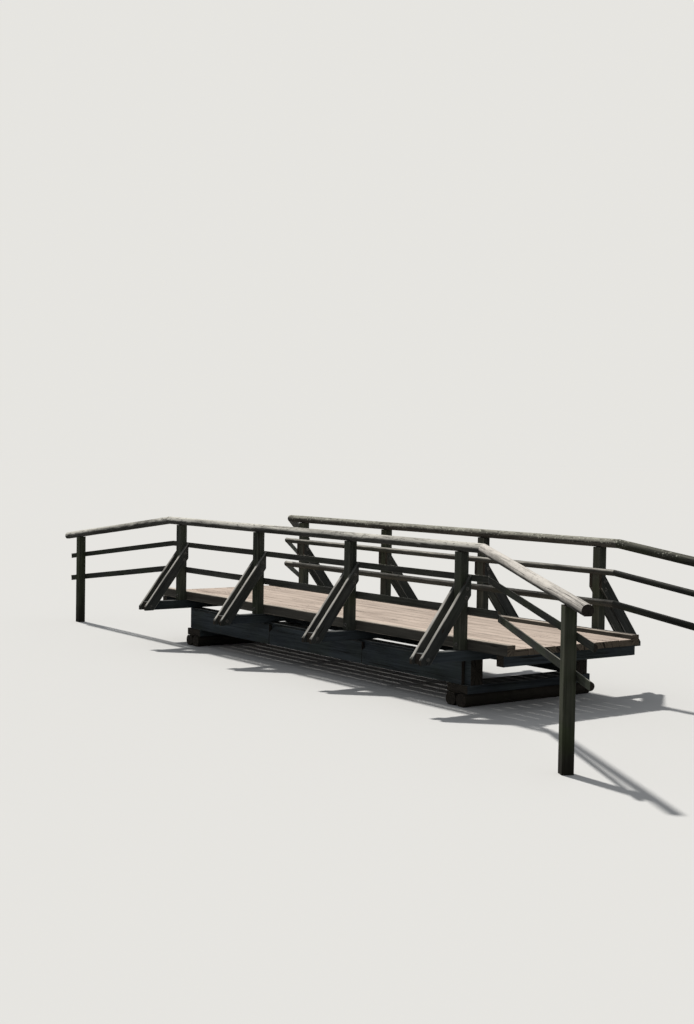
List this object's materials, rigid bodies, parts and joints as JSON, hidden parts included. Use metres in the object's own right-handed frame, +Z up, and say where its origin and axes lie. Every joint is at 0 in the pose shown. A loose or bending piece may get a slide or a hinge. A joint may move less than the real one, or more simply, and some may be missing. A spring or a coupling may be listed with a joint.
{
  "type": "timber footbridge",
  "caption": "Timber footbridge with a plank deck, twin-plank side braces, round handrails and sloping railing wings at its four corners.",
  "frame": {"origin": "middle of the footprint, at the level where the abutments and wing posts meet the ground", "axes": "+X along the bridge, +Y across it, +Z up"},
  "size_m": [14.1748, 6.0866, 1.9],
  "materials": {
    "rail_pole": "bleached, weathered",
    "frame_wood": "weathered, dull",
    "deck_wood": "worn, weathered",
    "beam_wood": "dark, weathered",
    "log_wood": "dark, round log"
  },
  "bodies": {
    "root": {"braces_far_1": "frame_wood", "braces_far_2": "frame_wood", "braces_far_3": "frame_wood", "braces_far_4": "frame_wood", "braces_near_1": "frame_wood", "braces_near_2": "frame_wood", "braces_near_3": "frame_wood", "braces_near_4": "frame_wood", "crossbeam_1": "beam_wood", "crossbeam_2": "beam_wood", "crossbeam_3": "beam_wood", "crossbeam_4": "beam_wood", "deck_planks": "deck_wood", "edge_timber_far": "deck_wood", "edge_timber_near": "deck_wood", "end_bearers": "beam_wood", "face_boards_far": "beam_wood", "face_boards_near": "beam_wood", "logs_left": "log_wood", "logs_right": "log_wood", "lower_rails_far": "frame_wood", "lower_rails_near": "frame_wood", "main_beam_far": "beam_wood", "main_beam_near": "beam_wood", "post_far_1": "frame_wood", "post_far_2": "frame_wood", "post_far_3": "frame_wood", "post_far_4": "frame_wood", "post_near_1": "frame_wood", "post_near_2": "frame_wood", "post_near_3": "frame_wood", "post_near_4": "frame_wood", "sill_left": "beam_wood", "sill_right": "beam_wood", "top_rail_far": "rail_pole", "top_rail_near": "rail_pole", "wing_lower_rails_far_left": "frame_wood", "wing_lower_rails_far_right": "frame_wood", "wing_lower_rails_near_left": "frame_wood", "wing_lower_rails_near_right": "frame_wood", "wing_post_far_left": "frame_wood", "wing_post_far_right": "frame_wood", "wing_post_near_left": "frame_wood", "wing_post_near_right": "frame_wood", "wing_top_rail_far_left": "rail_pole", "wing_top_rail_far_right": "rail_pole", "wing_top_rail_near_left": "rail_pole", "wing_top_rail_near_right": "rail_pole"}
  },
  "joints": []
}
